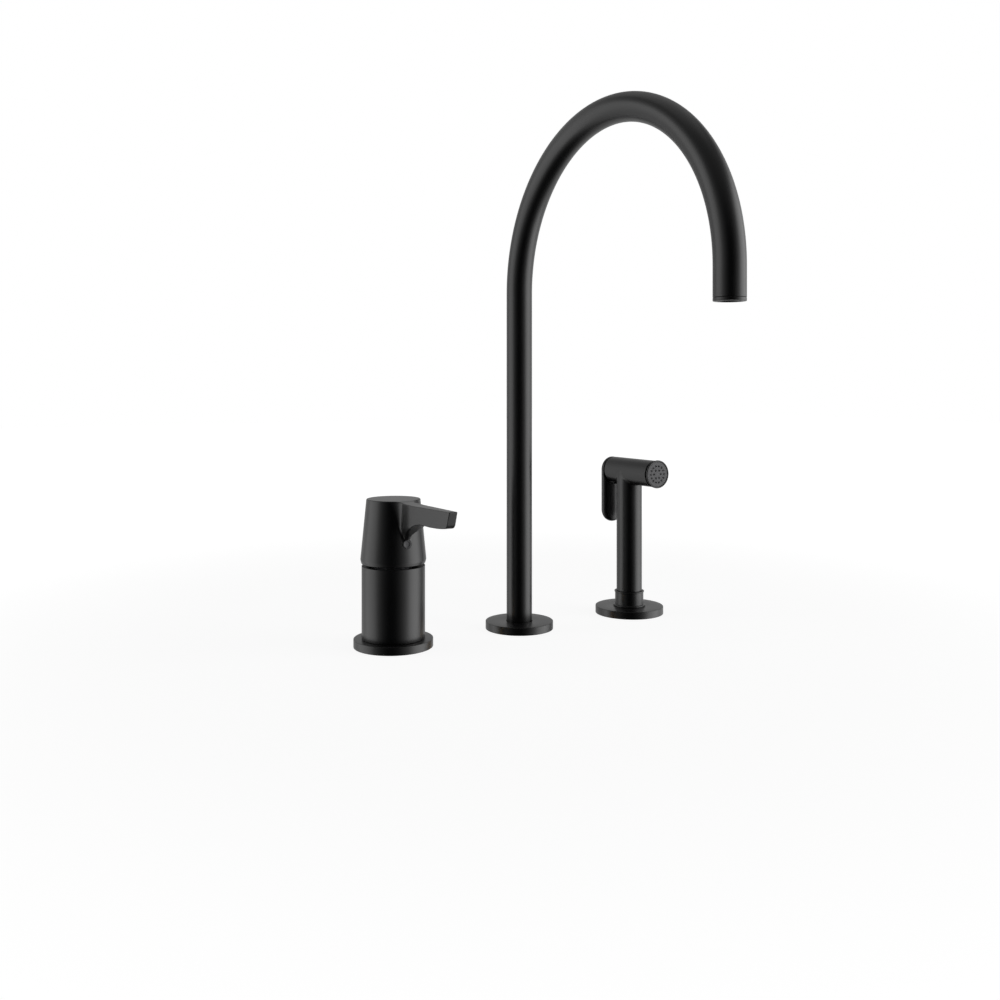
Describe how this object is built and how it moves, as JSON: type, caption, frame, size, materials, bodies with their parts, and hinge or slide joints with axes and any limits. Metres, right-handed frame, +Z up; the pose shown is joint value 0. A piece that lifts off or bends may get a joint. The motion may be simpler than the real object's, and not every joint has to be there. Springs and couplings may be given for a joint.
{
  "type": "kitchen faucet",
  "caption": "Matte black deck-mounted kitchen faucet set: single lever mixer, high arched swivel spout and a separate pull-up hand spray with a rear trigger.",
  "frame": {"origin": "centre of the spout's hole on the worktop's top face", "axes": "+Z up, the spout reaches along -Y to the user, the mixer is at -X and the hand spray at +X"},
  "size_m": [0.2749, 0.2745, 0.4525],
  "materials": {
    "matte_black": "matte black electrophoretic or powder coat over brass",
    "brass": "machined",
    "steel": "turned stainless steel",
    "rubber": "moulded",
    "dark_plastic": "moulded",
    "white_plastic": "moulded",
    "ceramic": "lapped alumina"
  },
  "bodies": {
    "fixed_set": {"mixer_flange": "matte_black", "mixer_gasket": "rubber", "mixer_shank": "brass", "mixer_rubber_washer": "rubber", "mixer_steel_washer": "steel", "mixer_nut": "brass", "mixer_body": "matte_black", "mixed_outlet": "brass", "hot_inlet": "brass", "cold_inlet": "brass", "cartridge_gasket": "rubber", "cartridge_base": "white_plastic", "fixed_ceramic_disc": "ceramic", "cartridge_housing": "dark_plastic", "cartridge_nut": "brass", "spout_flange": "matte_black", "spout_gasket": "rubber", "thrust_washer": "white_plastic", "spout_socket": "brass", "spout_inlet": "brass", "spout_rubber_washer": "rubber", "spout_steel_washer": "steel", "spout_nut": "brass", "spray_flange": "matte_black", "spray_gasket": "rubber", "spray_holder": "matte_black", "spray_rubber_washer": "rubber", "spray_steel_washer": "steel", "spray_nut": "brass"},
    "spout": {"spout_tube": "matte_black", "spout_foot": "brass", "spout_seal_upper": "rubber", "spout_seal_lower": "rubber", "spout_circlip": "steel", "outlet_ring": "matte_black", "aerator_body": "dark_plastic", "aerator_screen": "dark_plastic", "aerator_seal": "rubber"},
    "rotor": {"cartridge_rotor": "white_plastic", "spindle_pin": "steel"},
    "handle": {"mixer_handle": "matte_black", "cartridge_spindle": "steel", "handle_grub_screw": "steel", "handle_plug": "dark_plastic"},
    "disc": {"moving_ceramic_disc": "ceramic", "disc_carrier": "white_plastic"},
    "bush": {"holder_bush": "white_plastic"},
    "handset": {"spray_body": "matte_black", "trigger_pin": "steel", "spray_hose_nipple": "brass", "valve_seat": "brass", "spray_face_ring": "matte_black", "spray_plate": "dark_plastic", "spray_seal": "rubber"},
    "trigger": {"trigger_paddle": "matte_black", "trigger_plug": "dark_plastic"},
    "valve": {"valve_rod": "steel", "valve_washer": "rubber", "valve_spring": "steel"}
  },
  "joints": [
    {"name": "spout_swivel", "type": "hinge", "parent": "fixed_set", "child": "spout", "pos_m": [0, 0, 0], "axis": [0, 0, 1], "continuous": true},
    {"name": "lever_turn", "type": "hinge", "parent": "fixed_set", "child": "rotor", "pos_m": [-0.1088, 0, 0.069], "axis": [0, 0, 1], "range_deg": [-50, 50]},
    {"name": "lever_tilt", "type": "hinge", "parent": "rotor", "child": "handle", "pos_m": [-0.1088, 0, 0.069], "axis": [-1, 0, 0], "range_deg": [0, 20]},
    {"name": "disc_slide", "type": "slide", "parent": "rotor", "child": "disc", "axis": [0, -1, 0], "range_m": [0, 0.0046]},
    {"name": "spray_turn", "type": "hinge", "parent": "fixed_set", "child": "bush", "pos_m": [0.1088, 0, 0], "axis": [0, 0, 1], "range_deg": [-180, 180]},
    {"name": "handset_lift", "type": "slide", "parent": "bush", "child": "handset", "axis": [0, 0, 1], "range_m": [0, 0.2]},
    {"name": "trigger_squeeze", "type": "hinge", "parent": "handset", "child": "trigger", "pos_m": [0.1088, 0.0178, 0.1117], "axis": [-1, 0, 0], "range_deg": [0, 5], "stiffness_Nm_per_rad": 1.5, "springref_deg": -5.73},
    {"name": "valve_pull", "type": "slide", "parent": "handset", "child": "valve", "axis": [0, 1, 0], "range_m": [0, 0.0006]}
  ],
  "couplings": [
    {"joint": "disc_slide", "follows": "lever_tilt", "m_per_rad": 0.013},
    {"joint": "valve_pull", "follows": "trigger_squeeze", "m_per_rad": 0.0068}
  ]
}
